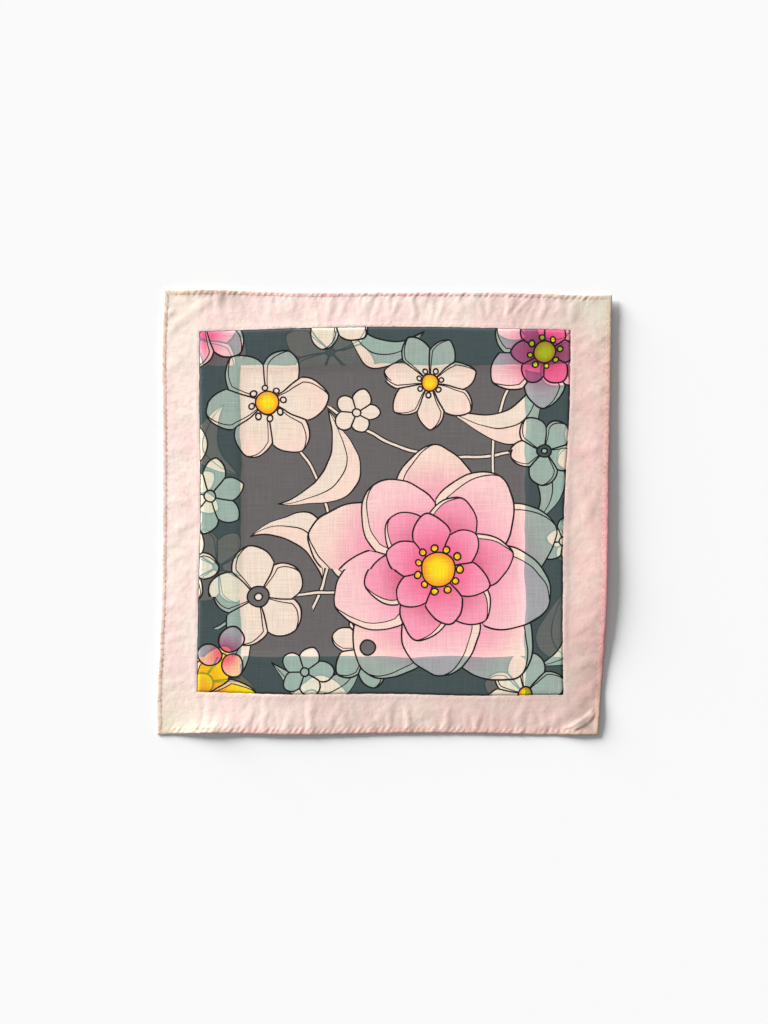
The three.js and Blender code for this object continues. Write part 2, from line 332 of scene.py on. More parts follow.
# Each side is a grid wrapped once round the section, and the four are merged along the corners.
band_mesh = bmesh.new()
cloth_uv = band_mesh.loops.layers.uv.new("cloth")
travelled = 0.0
for side in range(4):
    columns = round(side_lengths[side] / column_spacing)
    rows = len(section)
    strip = bmesh.ops.create_grid(band_mesh, x_segments=columns, y_segments=rows, size=1)
    spot = {}
    for vert in strip["verts"]:
        share = (vert.co.x + 1) / 2
        inward, face = section[round((vert.co.y + 1) / 2 * rows) % rows]
        spot[vert] = ((travelled + share * side_lengths[side]) * MM, inward * MM)
        vert.co = face(side, share, inward) * MM
    for strip_face in {linked for vert in strip["verts"] for linked in vert.link_faces}:
        strip_face.smooth = True
        for loop in strip_face.loops:
            loop[cloth_uv].uv = spot[loop.vert]
    travelled += side_lengths[side]
bmesh.ops.remove_doubles(band_mesh, verts=band_mesh.verts, dist=0.04 * MM)
bmesh.ops.recalc_face_normals(band_mesh, faces=band_mesh.faces)


def put_in(name, data):
    """An object of that name, put in the scene."""
    thing = bpy.data.objects.new(name, data)
    bpy.context.collection.objects.link(thing)
    return thing


def finished(mesh, name, material):
    """A mesh made into a piece that rides on the square, with its place in its mesh."""
    data = bpy.data.meshes.new(name)
    mesh.to_mesh(data)
    mesh.free()
    data.materials.append(material)
    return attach(put_in(name, data), "root")


def linear(red, green, blue):
    """A colour as it is seen, 0 to 255, as the shader takes it."""
    channels = []
    for value in (red, green, blue):
        value /= 255
        channels.append(value / 12.92 if value <= 0.04045 else ((value + 0.055) / 1.055) ** 2.4)
    return (*channels, 1.0)


def feed(tree, socket, value):
    """Sets a socket to a number, a colour or a place, or links it to another socket."""
    if isinstance(value, bpy.types.NodeSocket):
        tree.links.new(value, socket)
    elif value is not None:
        socket.default_value = value


def calc(tree, operation, *values):
    """One step of arithmetic on numbers."""
    node = tree.nodes.new("ShaderNodeMath")
    node.operation = operation
    for socket, value in zip(node.inputs, values):
        feed(tree, socket, value)
    return node.outputs[0]


def vector_calc(tree, operation, *values):
    """One step of arithmetic on places. A length, distance or product comes out as a number."""
    node = tree.nodes.new("ShaderNodeVectorMath")
    node.operation = operation
    for socket, value in zip(node.inputs, values):
        feed(tree, socket, value)
    return node.outputs["Value" if operation in ("LENGTH", "DISTANCE", "DOT_PRODUCT") else "Vector"]


def blend(tree, share, first, second, how="MIX"):
    """Two colours mixed."""
    node = tree.nodes.new("ShaderNodeMix")
    node.data_type = "RGBA"
    node.blend_type = how
    feed(tree, node.inputs["Factor"], share)
    feed(tree, node.inputs[6], first)
    feed(tree, node.inputs[7], second)
    return node.outputs[2]


def fade(tree, value, start, end, low=0.0, high=1.0):
    """A number that goes smoothly from low to high as a value goes from start to end."""
    node = tree.nodes.new("ShaderNodeMapRange")
    node.interpolation_type = "SMOOTHSTEP"
    node.clamp = False
    for name, number in (("From Min", start), ("From Max", end), ("To Min", low), ("To Max", high)):
        feed(tree, node.inputs[name], number)
    feed(tree, node.inputs["Value"], value)
    return node.outputs["Result"]


def cloudy(tree, place, size, detail=2.0, roughness=0.5):
    """A cloudy pattern from 0 to 1, with clouds about that many millimetres across."""
    node = tree.nodes.new("ShaderNodeTexNoise")
    feed(tree, node.inputs["Vector"], place)
    node.inputs["Scale"].default_value = 1.0 / size
    node.inputs["Detail"].default_value = detail
    node.inputs["Roughness"].default_value = roughness
    return node.outputs["Fac"]


NUMBER, VECTOR, COLOUR = "NodeSocketFloat", "NodeSocketVector", "NodeSocketColor"


def new_pattern(name, inputs, outputs):
    """An empty pattern with named inputs and outputs, to be placed in materials."""
    tree = bpy.data.node_groups.new(name, "ShaderNodeTree")
    for socket_name, kind in inputs:
        tree.interface.new_socket(socket_name, in_out="INPUT", socket_type=kind)
    for socket_name, kind in outputs:
        tree.interface.new_socket(socket_name, in_out="OUTPUT", socket_type=kind)
    return tree, tree.nodes.new("NodeGroupInput"), tree.nodes.new("NodeGroupOutput")


def place_pattern(tree, pattern, **values):
    """A pattern placed in a material, its inputs given by name."""
    node = tree.nodes.new("ShaderNodeGroup")
    node.node_tree = pattern
    for name, value in values.items():
        feed(tree, node.inputs[name.replace("_", " ")], value)
    return node


# The plain weave of both cottons: threads over and under each other, some of them thicker.
weave, weave_in, weave_out = new_pattern(
    "plain weave",
    [("Place", VECTOR), ("Thread", NUMBER)],
    [("Height", NUMBER), ("Slub", NUMBER)],
)
threads = vector_calc(weave, "SCALE", weave_in.outputs["Place"])
weave.links.new(
    calc(weave, "DIVIDE", math.pi, weave_in.outputs["Thread"]), threads.node.inputs["Scale"]
)
sideways, upwards = (
    vector_calc(weave, "MULTIPLY", threads, stretch) for stretch in ((1, 0.02, 1), (0.02, 1, 1))
)
across_split = weave.nodes.new("ShaderNodeSeparateXYZ")
weave.links.new(threads, across_split.inputs[0])
warp = calc(weave, "SINE", across_split.outputs["X"])
weft = calc(weave, "SINE", across_split.outputs["Y"])
over_under = calc(weave, "MULTIPLY", warp, weft)
slub = calc(
    weave, "ADD", cloudy(weave, sideways, 2.2, 1.0), cloudy(weave, upwards, 2.6, 1.0)
)
weave.links.new(calc(weave, "MULTIPLY_ADD", slub, 0.6, over_under), weave_out.inputs["Height"])
weave.links.new(calc(weave, "SUBTRACT", slub, 1.0), weave_out.inputs["Slub"])


def new_cloth(name, roughness, sheen):
    """A matt cloth material, its nodes, shader and coordinates, and its place in millimetres."""
    material = bpy.data.materials.new(name)
    material.use_nodes = True
    tree = material.node_tree
    shader = tree.nodes["Principled BSDF"]
    shader.inputs["Roughness"].default_value = roughness
    shader.inputs["Specular IOR Level"].default_value = 0.25
    shader.inputs["Sheen Weight"].default_value = sheen
    shader.inputs["Sheen Roughness"].default_value = 0.5
    coordinates = tree.nodes.new("ShaderNodeTexCoord")
    place = vector_calc(tree, "SCALE", coordinates.outputs["Object"])
    place.node.inputs["Scale"].default_value = 1000.0
    return material, tree, shader, coordinates, place


def bump(tree, shader, height, depth, under=None):
    """A small relief in the surface, that many millimetres deep, over another one if given."""
    node = tree.nodes.new("ShaderNodeBump")
    node.inputs["Distance"].default_value = depth * MM
    feed(tree, node.inputs["Height"], height)
    feed(tree, node.inputs["Normal"], under)
    feed(tree, shader.inputs["Normal"], node.outputs["Normal"])
    return node.outputs["Normal"]


def slub_shaded(tree, colour, slub, thin, thick):
    """A colour a little darker or lighter along the threads that are thicker than the rest."""
    slub_tone = fade(tree, slub, -0.25, 0.25, thin, thick)
    tone = tree.nodes.new("ShaderNodeCombineXYZ")
    for socket in tone.inputs:
        tree.links.new(slub_tone, socket)
    return blend(tree, 1.0, colour, tone.outputs[0], "MULTIPLY")


pink_cotton, tree, shader, coordinates, place = new_cloth("pink_cotton", 0.9, 0.12)
shell_pink = linear(252, 223, 216)
cream_pink = linear(252, 233, 221)
rose_pink = linear(243, 196, 198)
salmon = linear(232, 165, 158)
sandy = linear(214, 184, 150)
falloff_shade_grey = linear(214, 206, 204)
right_shade_grey = linear(232, 224, 224)
blotch_brown = linear(200, 178, 166)
pleat_shade_colour = linear(196, 134, 120)
seamline_shade_colour = linear(198, 138, 126)
flush_pink = linear(240, 158, 170)
# Yellowed corners, and two patches of the sides, the lower one a darker patch of painted shade: place,
# reach, strength, colour.
patches = [
    ((167.0, 162.0, 0), 54.0, 0.95, linear(234, 241, 218)),
    ((-168.0, -166.0, 0), 56.0, 0.95, linear(238, 229, 206)),
    ((-162.0, 164.0, 0), 46.0, 0.7, linear(244, 231, 212)),
    ((160.0, -166.0, 0), 42.0, 0.85, linear(233, 222, 208)),
    ((104.0, 152.0, 0), 48.0, 0.6, linear(240, 204, 199)),
    # Painted shade along the lower side.
    ((-45.0, -152.0, 0), 78.0, 0.6, linear(232, 208, 199)),
]
broad_clouds = cloudy(tree, place, 34.0, 3.0, 0.6)
fine_clouds = cloudy(tree, place, 10.0, 3.0, 0.6)
colour = blend(tree, fade(tree, broad_clouds, 0.36, 0.64), shell_pink, cream_pink)
colour = blend(tree, fade(tree, fine_clouds, 0.52, 0.76, 0.0, 0.42), colour, rose_pink)
for middle, reach, strength, patch_colour in patches:
    from_corner = vector_calc(tree, "DISTANCE", place, middle)
    ragged = calc(tree, "MULTIPLY_ADD", fine_clouds, 26.0, from_corner)
    colour = blend(tree, fade(tree, ragged, reach + 13, 18.0, 0.0, strength), colour, patch_colour)
# Painted shade: the cloth darkens towards the lower right, standing in for the falloff of the light from the
# upper left. The right side also has darker brown blotches.
toward_lower_right = vector_calc(tree, "DOT_PRODUCT", place, (0.8, -0.6, 0))
colour = blend(tree, fade(tree, toward_lower_right, -110.0, 170.0, 0.0, 0.8), colour, falloff_shade_grey, "MULTIPLY")
blotches = fade(tree, cloudy(tree, place, 12.0, 3.0, 0.6), 0.48, 0.7, 0.0, 0.55)
on_the_right = fade(tree, vector_calc(tree, "DOT_PRODUCT", place, (1, 0, 0)), 128.0, 150.0)
colour = blend(tree, calc(tree, "MULTIPLY", blotches, on_the_right), colour, blotch_brown)
# More painted shade on the right side, offsetting the light that its raised edge catches from the lamp.
colour = blend(tree, calc(tree, "MULTIPLY", on_the_right, 0.9), colour, right_shade_grey, "MULTIPLY")
# Dye has gathered in the hem.
hem_split = tree.nodes.new("ShaderNodeSeparateXYZ")
tree.links.new(coordinates.outputs["UV"], hem_split.inputs[0])
inward_mm = calc(tree, "MULTIPLY", hem_split.outputs["Y"], 1000.0)
hem_clouds = cloudy(tree, place, 14.0, 2.0)
hem_share = calc(
    tree, "MULTIPLY", fade(tree, inward_mm, 5.0, 3.0), fade(tree, hem_clouds, 0.3, 0.7, 0.12, 0.4)
)
# Towards the corners the dye has gone sandy.
at_corners = fade(tree, vector_calc(tree, "LENGTH", place), 178.0, 214.0)
dye = blend(tree, at_corners, salmon, sandy)
colour = blend(tree, hem_share, colour, dye)
# Painted shade darkens the folds of the pleats, and the line that the stitches follow.
slanted = calc(tree, "MULTIPLY_ADD", inward_mm, 0.55, calc(tree, "MULTIPLY", hem_split.outputs["X"], 1000.0))
pleat_place = tree.nodes.new("ShaderNodeCombineXYZ")
tree.links.new(slanted, pleat_place.inputs["X"])
tree.links.new(calc(tree, "MULTIPLY", inward_mm, 0.3), pleat_place.inputs["Y"])
pleat_shade_share = fade(tree, cloudy(tree, pleat_place.outputs[0], 2.1, 1.0), 0.5, 0.72, 0.0, 0.55)
in_hem = calc(tree, "MULTIPLY", fade(tree, inward_mm, 5.6, 3.2), fade(tree, inward_mm, 0.3, 1.4))
colour = blend(tree, calc(tree, "MULTIPLY", pleat_shade_share, in_hem), colour, pleat_shade_colour)
# Painted shade along the stitch line's groove.
off_seamline = calc(tree, "ABSOLUTE", calc(tree, "SUBTRACT", inward_mm, 3.4))
line_clouds = fade(tree, cloudy(tree, place, 6.0, 3.0, 0.7), 0.42, 0.6, 0.0, 0.4)
seamline_shade_share = calc(tree, "MULTIPLY", fade(tree, off_seamline, 1.0, 0.1), line_clouds)
colour = blend(tree, seamline_shade_share, colour, seamline_shade_colour)
# The middle of the right edge is flushed with it.
flush = calc(
    tree, "MULTIPLY",
    fade(tree, inward_mm, 4.0, 1.2),
    fade(tree, vector_calc(tree, "DISTANCE", place, (165.0, -46.0, 0)), 84.0, 46.0, 0.0, 0.6),
)
colour = blend(tree, flush, colour, flush_pink)
band_weave = place_pattern(tree, weave, Place=place, Thread=0.42)
colour = slub_shaded(tree, colour, band_weave.outputs["Slub"], 0.93, 1.0)
tree.links.new(colour, shader.inputs["Base Color"])
crease_clouds = cloudy(tree, place, 4.5, 3.0, 0.55)
soft_creases = bump(tree, shader, crease_clouds, 0.22)
bump(tree, shader, band_weave.outputs["Height"], 0.03, soft_creases)

border_band = finished(band_mesh, "border_band_cloth", pink_cotton)
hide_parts("border_band")

# Print panel.
# A square of sheer cotton printed with flowers, its margin folded under all round and pressed
# flat, so that the doubled rim is a little thicker and the print on the fold shows through it.
# Its folded edge meets the band's inner edge, and the two are sewn together there.
panel_gap = 0.05
panel_size = 270.0
panel_cells = 150
margin = 29.5
# The upper face: millimetres in from the fold, height.
panel_profile = [
    (0.0, 0.6), (0.25, 0.74), (0.7, 0.8), (2.2, 0.84), (24.0, 0.82), (27.5, 0.78), (31.5, 0.5),
    (36.0, 0.42), (140.0, 0.42),
]
# The fold carried on under the face: round the edge, in along the underside to the raw edge, back
# out between the two layers, and in again under the face.
fold_rings = [
    (0.0, 0.2), (0.3, 0.0), (margin * 0.5, 0.0), (margin, 0.0), (margin + 0.3, 0.12), (margin, 0.3),
    (margin * 0.5, 0.36), (1.1, 0.36), (0.9, 0.4), (1.1, 0.44), (margin * 0.5, 0.42), (margin, 0.36),
    (margin + 2.6, 0.04),
]
under_inset = margin + 3.4
# How uneven the face is, and how much more so at the seam.
panel_unevenness = 0.12
seam_pull_height = 0.1


def panel_place(right, up):
    """Where a point of the panel lies, from its shares of the way right and up the window."""
    left_place = side_point(LEFT, up, 2, seam_bows)
    right_place = side_point(RIGHT, 1 - up, 2, seam_bows)
    top_place = side_point(TOP, right, 2, seam_bows)
    bottom_place = side_point(BOTTOM, 1 - right, 2, seam_bows)
    low = Vector(corners[LEFT][2:4]).lerp(Vector(corners[BOTTOM][2:4]), right)
    high = Vector(corners[TOP][2:4]).lerp(Vector(corners[RIGHT][2:4]), right)
    place = left_place.lerp(right_place, right) + bottom_place.lerp(top_place, up) - low.lerp(high, up)
    return place * (1 - 2 * panel_gap / panel_size)


def panel_point(across, up, inset, height):
    """A point of the panel: across and up from -1 to 1, on a ring that far in from the fold."""
    keep = 1 - 2 * inset / panel_size
    place = panel_place((across * keep + 1) / 2, (up * keep + 1) / 2)
    return Vector((place.x, place.y, height)) * MM


def panel_height(across, up):
    """The height of the panel's upper face, which is nowhere quite flat."""
    inward = panel_size / 2 * (1 - max(abs(across), abs(up)))
    height = smooth_row(panel_profile, inward)
    waves = noise.noise(Vector((across * 4, up * 4, 5.0)))
    height += min(1.0, inward / 6) * panel_unevenness * waves
    seam_pull = math.exp(-((inward - 2.0) / 2.0) ** 2) * min(1.0, inward / 0.8)
    ripples = noise.noise(Vector((across * 34, up * 34, 8.0)))
    return height + seam_pull * seam_pull_height * ripples


panel_mesh = bmesh.new()
bmesh.ops.create_grid(panel_mesh, x_segments=panel_cells, y_segments=panel_cells, size=1)
under_grid = bmesh.ops.duplicate(panel_mesh, geom=panel_mesh.faces[:])
under_verts = [part for part in under_grid["geom"] if isinstance(part, bmesh.types.BMVert)]
face_verts = set(panel_mesh.verts) - set(under_verts)
flat_spots = {vert: (vert.co.x, vert.co.y) for vert in panel_mesh.verts}
rim = [edge for edge in panel_mesh.edges if edge.is_boundary and edge.verts[0] in face_verts]
under_rim = [edge for edge in panel_mesh.edges if edge.is_boundary and edge.verts[0] not in face_verts]
for vert in face_verts:
    across, up = flat_spots[vert]
    vert.co = panel_point(across, up, 0.0, panel_height(across, up))
for vert in under_verts:
    vert.co = panel_point(*flat_spots[vert], under_inset, 0.0)
for inset, height in fold_rings:
    ring = bmesh.ops.extrude_edge_only(panel_mesh, edges=list(rim))["geom"]
    ring_verts = {part for part in ring if isinstance(part, bmesh.types.BMVert)}
    rim = {part for part in ring if isinstance(part, bmesh.types.BMEdge) and part.is_boundary}
    for vert in ring_verts:
        above = next(edge.other_vert(vert) for edge in vert.link_edges if edge not in rim)
        flat_spots[vert] = flat_spots[above]
        vert.co = panel_point(*flat_spots[vert], inset, height)
bmesh.ops.bridge_loops(panel_mesh, edges=list(rim) + under_rim)
bmesh.ops.recalc_face_normals(panel_mesh, faces=panel_mesh.faces)
for panel_face in panel_mesh.faces:
    panel_face.smooth = True

# The print's colours.
ground_grey = linear(103, 99, 98)
ink = linear(24, 15, 16)
cream = linear(240, 220, 202)
warm_cream = linear(246, 216, 200)
pale_pink = linear(250, 203, 202)
mid_pink = linear(248, 158, 182)
hot_pink = linear(243, 104, 148)
deep_pink = linear(214, 62, 108)
yellow = linear(253, 222, 20)
orange = linear(250, 152, 34)
# Half the width of a drawn line.
ink_line = 0.62

# What the outline of a petal or leaf is given by, as the function below works it out.
lens_sockets = [
    ("Tip", VECTOR), ("Side", VECTOR), ("Bend", NUMBER), ("Split", VECTOR), ("Limit", NUMBER),
    ("Round", NUMBER),
]


def lens(half_length, half_width, roundness):
    """The outline of a petal or leaf: two arcs that meet at its ends, with the ends rounded."""
    long_half, wide_half = half_length - roundness, half_width - roundness
    sink = (long_half ** 2 - wide_half ** 2) / (2 * wide_half)
    return {
        "Tip": (0, long_half, 0), "Side": (-sink, 0, 0), "Bend": wide_half + sink,
        "Split": (-long_half, sink, 0), "Limit": long_half * sink, "Round": roundness,
    }


def new_motif(name, sockets):
    """A pattern that draws one motif over the colours under it."""
    return new_pattern(
        name, [("Under", COLOUR), ("Place", VECTOR)] + sockets, [("Colour", COLOUR)]
    )


def lens_edge(tree, across, along, given):
    """How far outside (or inside, below zero) that outline a point is, in millimetres."""
    right = vector_calc(tree, "SCALE", (1, 0, 0), None, None, across)
    up = vector_calc(tree, "SCALE", (0, 1, 0), None, None, along)
    spot = vector_calc(tree, "ADD", right, up)
    to_tip = vector_calc(tree, "DISTANCE", spot, given["Tip"])
    from_middle = vector_calc(tree, "DISTANCE", spot, given["Side"])
    to_side = calc(tree, "SUBTRACT", from_middle, given["Bend"])
    beyond_tip = calc(
        tree, "GREATER_THAN", vector_calc(tree, "DOT_PRODUCT", spot, given["Split"]), given["Limit"]
    )
    gap = calc(tree, "SUBTRACT", to_tip, to_side)
    edge = calc(tree, "MULTIPLY_ADD", gap, beyond_tip, to_side)
    return calc(tree, "SUBTRACT", edge, given["Round"])


def finish_motif(tree, motif_out, given, edge, colour):
    """Draws a filled shape with its outline over the colours under it."""
    on_line = calc(tree, "LESS_THAN", calc(tree, "ABSOLUTE", edge), ink_line)
    shape = blend(tree, on_line, colour, ink)
    inside = calc(tree, "LESS_THAN", edge, ink_line)
    tree.links.new(blend(tree, inside, given["Under"], shape), motif_out.inputs["Colour"])


# A ring of like petals round a middle.
bloom, ring_in, ring_out = new_motif(
    "petal ring",
    [("Speck", NUMBER), ("Middle", VECTOR), ("Count", NUMBER), ("Spin", NUMBER), ("Reach", NUMBER)]
    + lens_sockets
    + [("Heart", COLOUR), ("Rim", COLOUR), ("From", NUMBER), ("To", NUMBER), ("Turned", NUMBER)],
)
given = ring_in.outputs
slice_turn = calc(bloom, "DIVIDE", 2 * math.pi, given["Count"])
local = vector_calc(bloom, "SUBTRACT", given["Place"], given["Middle"])
angle = calc(
    bloom, "ARCTAN2", vector_calc(bloom, "DOT_PRODUCT", local, (0, 1, 0)),
    vector_calc(bloom, "DOT_PRODUCT", local, (1, 0, 0)),
)
spun = calc(bloom, "SUBTRACT", calc(bloom, "DIVIDE", angle, slice_turn), given["Spin"])
petal_number = calc(bloom, "ROUND", spun)
swing = calc(bloom, "MULTIPLY", calc(bloom, "SUBTRACT", spun, petal_number), slice_turn)
# No two petals of a hand-drawn flower are as long as each other.
uneven = calc(
    bloom, "SINE",
    calc(bloom, "ADD", calc(bloom, "MULTIPLY", petal_number, 2.0), given["Reach"]),
)
reach = calc(
    bloom, "MULTIPLY", vector_calc(bloom, "LENGTH", local),
    calc(bloom, "MULTIPLY_ADD", uneven, 0.05, 1.0),
)
sideways = calc(bloom, "MULTIPLY", reach, calc(bloom, "SINE", swing))
along = calc(bloom, "MULTIPLY", reach, calc(bloom, "COSINE", swing))
from_middle = calc(bloom, "ABSOLUTE", calc(bloom, "SUBTRACT", along, given["Reach"]))
edge = lens_edge(bloom, calc(bloom, "ABSOLUTE", sideways), from_middle, given)
# Where petals would overlap, a line between them parts the two.
half_slice = calc(bloom, "MULTIPLY", slice_turn, 0.5)
to_next = calc(bloom, "SUBTRACT", calc(bloom, "ABSOLUTE", swing), half_slice)
edge = calc(
    bloom, "MAXIMUM", edge, calc(bloom, "MULTIPLY", reach, calc(bloom, "SINE", to_next))
)
speckled = calc(bloom, "MULTIPLY_ADD", given["Speck"], 7.0, reach)
rim_share = fade(bloom, speckled, given["From"], given["To"])
colour = blend(bloom, rim_share, given["Heart"], given["Rim"])
# One side of the petal may be turned over, paler, with a line along the turn.
turned = calc(bloom, "MULTIPLY_ADD", sideways, given["Turned"], edge)
one_side = calc(bloom, "GREATER_THAN", sideways, 0.0)
paler = calc(bloom, "MULTIPLY", one_side, calc(bloom, "GREATER_THAN", turned, 0.0))
near_turn = calc(bloom, "LESS_THAN", calc(bloom, "ABSOLUTE", turned), 0.8 * ink_line)
line = calc(bloom, "MULTIPLY", one_side, near_turn)
colour = blend(bloom, line, blend(bloom, paler, colour, warm_cream), ink)
finish_motif(bloom, ring_out, given, edge, colour)

# A round heart.
disc, disc_in, disc_out = new_motif(
    "round heart",
    [("Middle", VECTOR), ("Radius", NUMBER), ("Heart", COLOUR), ("Rim", COLOUR)],
)
given = disc_in.outputs
reach = vector_calc(disc, "DISTANCE", given["Place"], given["Middle"])
rim_share = fade(disc, reach, calc(disc, "MULTIPLY", given["Radius"], 0.3), given["Radius"])
colour = blend(disc, rim_share, given["Heart"], given["Rim"])
finish_motif(disc, disc_out, given, calc(disc, "SUBTRACT", reach, given["Radius"]), colour)

# A leaf with a curved midrib, each half of its own colour.
leaf, leaf_in, leaf_out = new_motif(
    "leaf",
    [("Middle", VECTOR), ("Along", VECTOR), ("Across", VECTOR), ("Bow", NUMBER), ("Sway", NUMBER)]
    + lens_sockets + [("Upper", COLOUR), ("Lower", COLOUR)],
)
given = leaf_in.outputs
local = vector_calc(leaf, "SUBTRACT", given["Place"], given["Middle"])
along = vector_calc(leaf, "DOT_PRODUCT", local, given["Along"])
curve = calc(leaf, "MULTIPLY", calc(leaf, "MULTIPLY", along, along), given["Bow"])
sideways = vector_calc(leaf, "DOT_PRODUCT", local, given["Across"])
sway = calc(leaf, "ADD", calc(leaf, "ADD", sideways, curve), given["Sway"])
across = calc(leaf, "ABSOLUTE", sway)
edge = lens_edge(leaf, across, calc(leaf, "ABSOLUTE", along), given)
colour = blend(leaf, calc(leaf, "GREATER_THAN", sway, 0.0), given["Lower"], given["Upper"])
colour = blend(leaf, calc(leaf, "LESS_THAN", across, 0.8 * ink_line), colour, ink)
finish_motif(leaf, leaf_out, given, edge, colour)

# A thin pale stem along part of a circle.
stem, stem_in, stem_out = new_motif(
    "stem", [("Middle", VECTOR), ("Radius", NUMBER), ("Toward", VECTOR), ("Ahead", NUMBER)]
)
given = stem_in.outputs
local = vector_calc(stem, "SUBTRACT", given["Place"], given["Middle"])
off_line = calc(
    stem, "ABSOLUTE", calc(stem, "SUBTRACT", vector_calc(stem, "LENGTH", local), given["Radius"])
)
ahead = vector_calc(stem, "DOT_PRODUCT", local, given["Toward"])
here = calc(stem, "GREATER_THAN", ahead, given["Ahead"])
outline = calc(stem, "MULTIPLY", here, calc(stem, "LESS_THAN", off_line, 1.7))
colour = blend(stem, calc(stem, "LESS_THAN", off_line, 0.8), ink, cream)
stem.links.new(blend(stem, outline, given["Under"], colour), stem_out.inputs["Colour"])

# What is printed, from the lowest layer to the top one. Millimetres from the middle of the
# square, and degrees.
# Stems: middle x and y, radius, which way the stretch faces, half the angle it spans.
stems = [
    (-150, -20, 110, 12, 40),
    (60, 190, 150, 262, 34),
    (-40, -210, 150, 84, 40),
    (190, 40, 110, 176, 34),
]
# Leaves: middle x and y, turn, length, width, colour of each half.
leaves = [
    (-38, 30, 62, 78, 27, cream, warm_cream),
    (-62, -18, 148, 62, 24, warm_cream, cream),
    (-118, -104, 38, 66, 25, cream, cream),
    (92, 70, 24, 76, 26, cream, warm_cream),
    (118, 22, 108, 58, 22, warm_cream, cream),
    (-4, 122, -14, 60, 22, cream, warm_cream),
    (-46, -128, 6, 70, 25, warm_cream, cream),
    (140, -92, 70, 60, 24, cream, cream),
    (-146, 50, 78, 54, 22, cream, warm_cream),
    (150, 118, -40, 56, 24, cream, cream),
]
# Rings of petals: middle x and y, turn, how many, start and tip, width, roundness of the ends,
# colours of the heart and the rim, where one fades into the other, width of the turned side.
petals = [
    # Cream flowers.
    (-86, 80, 8, 6, 4, 44, 30, 7, cream, warm_cream, 16, 40, 4.5),
    (-92, -62, 30, 5, 4, 37, 31, 9, cream, cream, 0, 1, 4.0),
    (34, 96, 14, 7, 4, 35, 21, 3, cream, warm_cream, 12, 32, 3.0),
    (-12, -100, 40, 6, 3, 29, 20, 5, warm_cream, cream, 10, 24, 3.0),
    (-128, 12, 20, 6, 3, 27, 17, 2, cream, cream, 0, 1, 0.0),
    (118, 46, 50, 5, 3, 26, 20, 6, cream, warm_cream, 8, 24, 3.0),
    (-20, 74, 0, 5, 2, 17, 13, 3, cream, cream, 0, 1, 0.0),
    (132, -22, 10, 5, 2, 18, 13, 2, cream, cream, 0, 1, 0.0),
    (-58, -118, 0, 5, 2, 20, 15, 4, cream, cream, 0, 1, 0.0),
    (104, -134, 18, 6, 3, 30, 20, 5, cream, warm_cream, 12, 28, 3.0),
    (-152, -40, 0, 6, 3, 30, 20, 5, cream, cream, 0, 1, 3.0),
    (-40, 152, 18, 6, 3, 34, 22, 5, cream, warm_cream, 12, 28, 3.0),
    # The great bloom.
    (40, -42, 20, 5, 8, 94, 64, 16, mid_pink, warm_cream, 46, 90, 7.0),
    (40, -42, 56, 5, 6, 82, 60, 16, mid_pink, pale_pink, 30, 74, 8.0),
    (40, -42, 12, 6, 4, 54, 38, 9, deep_pink, mid_pink, 14, 52, 4.5),
    (40, -42, 42, 6, 2, 40, 27, 6, hot_pink, mid_pink, 12, 40, 0.0),
    # Pink and yellow flowers cut by the edges.
    (118, 118, 30, 6, 4, 42, 30, 8, hot_pink, pale_pink, 10, 36, 4.5),
    (118, 118, 0, 6, 2, 25, 18, 5, deep_pink, hot_pink, 6, 22, 0.0),
    (-140, -142, 10, 7, 4, 46, 28, 7, orange, yellow, 8, 36, 4.0),
    (-134, 142, 20, 6, 4, 36, 25, 6, hot_pink, pale_pink, 8, 30, 4.0),
    (-118, -104, 64, 3, 2, 20, 17, 4, hot_pink, pale_pink, 4, 18, 0.0),
    # Beads round the hearts, drawn as petals as wide as they are long.
    (40, -42, 0, 11, 13.4, 18.4, 5.0, 1.2, yellow, orange, 14, 18, 0.0),
    (-86, 80, 10, 8, 9.4, 13.6, 4.2, 1.0, cream, cream, 0, 1, 0.0),
    (34, 96, 10, 7, 7.2, 10.8, 3.6, 0.8, cream, cream, 0, 1, 0.0),
    (118, 118, 10, 8, 8.8, 12.8, 4.0, 0.9, yellow, yellow, 0, 1, 0.0),
]
# Round hearts: middle x and y, radius, colour in the middle and at the rim.
hearts = [
    (40, -42, 12.5, yellow, orange),
    (-86, 80, 8.5, yellow, orange),
    (-92, -62, 8.0, ground_grey, ground_grey),
    (-92, -62, 3.0, cream, cream),
    (34, 96, 6.5, yellow, orange),
    (-12, -100, 5.5, ground_grey, ground_grey),
    (-128, 12, 4.4, cream, cream),
    (118, 46, 5.0, ground_grey, ground_grey),
    (118, 46, 2.2, cream, cream),
    (-20, 74, 3.2, cream, cream),
    (132, -22, 3.2, cream, cream),
    (-58, -118, 3.4, cream, cream),
    (104, -134, 5.5, yellow, orange),
    (118, 118, 8.0, yellow, orange),
    (-140, -142, 8.0, cream, warm_cream),
]

# The seam, where the print is folded under, and the raw edge of what is folded: left, right,
# bottom, top.
fold_lines = (-137.0, 134.8, -134.2, 135.2)
raw_edges = (-105.6, 103.9, -106.3, 108.6)
# Half the window's width and height, and the least distance out of what lies beyond the fold.
window_half_width = 137
window_half_height = 135
beyond_fold = 134


def reaches(x, y, size, beyond):
    """Whether a motif of that size shows inside the window, or beyond the fold."""
    if beyond:
        return max(abs(x), abs(y)) + size > beyond_fold
    return abs(x) - size < window_half_width and abs(y) - size < window_half_height


